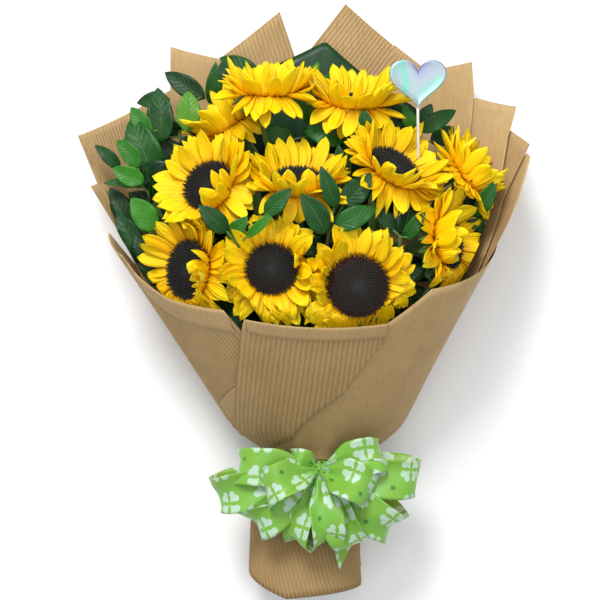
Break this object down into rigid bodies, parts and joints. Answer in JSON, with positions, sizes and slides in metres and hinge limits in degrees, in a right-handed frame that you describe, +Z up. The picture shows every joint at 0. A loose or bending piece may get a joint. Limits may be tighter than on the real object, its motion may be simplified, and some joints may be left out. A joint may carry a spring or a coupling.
{
  "type": "bunch of sunflowers",
  "caption": "Hand-tied bunch of sunflowers with glossy foliage in kraft paper, tied with a green ribbon bow and lying on its back.",
  "frame": {"origin": "on the table under the middle of the bunch's box, as it lies on its back", "axes": "+Y along the bunch from the cut stems to the flowers, +Z up from the table, towards the front of the bunch, +X to the right"},
  "size_m": [0.4306, 0.584, 0.1989],
  "materials": {
    "petal": "matte, soft, ridged lengthwise",
    "seed_disc": "matte, tightly packed florets",
    "stem": "matte, downy green",
    "leaf": "glossy, waxy",
    "broad_leaf": "glossy, waxy",
    "kraft_paper": "matte, fine ribs on one side",
    "ribbon": "satin, printed with clovers and stars",
    "tie": "dull fibre",
    "foil": "iridescent foil",
    "pick_stick": "plain"
  },
  "bodies": {
    "root": {"paper_back_left": "kraft_paper", "paper_back_right": "kraft_paper", "paper_liner": "kraft_paper", "paper_side_left": "kraft_paper", "paper_side_right_inner": "kraft_paper", "paper_side_right_outer": "kraft_paper", "paper_front_left": "kraft_paper", "paper_front_right": "kraft_paper", "paper_front_centre": "kraft_paper", "sunflower_01_stem": "stem", "sunflower_01_disc": "seed_disc", "sunflower_01_petals": "petal", "sunflower_02_stem": "stem", "sunflower_02_disc": "seed_disc", "sunflower_02_petals": "petal", "sunflower_03_stem": "stem", "sunflower_03_disc": "seed_disc", "sunflower_03_petals": "petal", "sunflower_04_stem": "stem", "sunflower_04_disc": "seed_disc", "sunflower_04_petals": "petal", "sunflower_05_stem": "stem", "sunflower_05_disc": "seed_disc", "sunflower_05_petals": "petal", "sunflower_06_stem": "stem", "sunflower_06_disc": "seed_disc", "sunflower_06_petals": "petal", "sunflower_07_stem": "stem", "sunflower_07_disc": "seed_disc", "sunflower_07_petals": "petal", "sunflower_08_stem": "stem", "sunflower_08_disc": "seed_disc", "sunflower_08_petals": "petal", "sunflower_09_stem": "stem", "sunflower_09_disc": "seed_disc", "sunflower_09_petals": "petal", "sunflower_10_stem": "stem", "sunflower_10_disc": "seed_disc", "sunflower_10_petals": "petal", "sunflower_11_stem": "stem", "sunflower_11_disc": "seed_disc", "sunflower_11_petals": "petal", "pick_stick": "pick_stick", "pick_heart": "foil", "broad_leaf": "broad_leaf", "sprig_left_top": "leaf", "sprig_left_mid": "leaf", "sprig_left_low": "leaf", "sprig_top_left": "leaf", "sprig_top_mid": "leaf", "sprig_centre": "leaf", "sprig_centre_left": "leaf", "sprig_centre_right": "leaf", "sprig_top_right": "leaf", "sprig_right_mid": "leaf", "sprig_right_low": "leaf", "stem_tie": "tie", "ribbon_band": "ribbon", "ribbon_bow": "ribbon"}
  },
  "joints": []
}
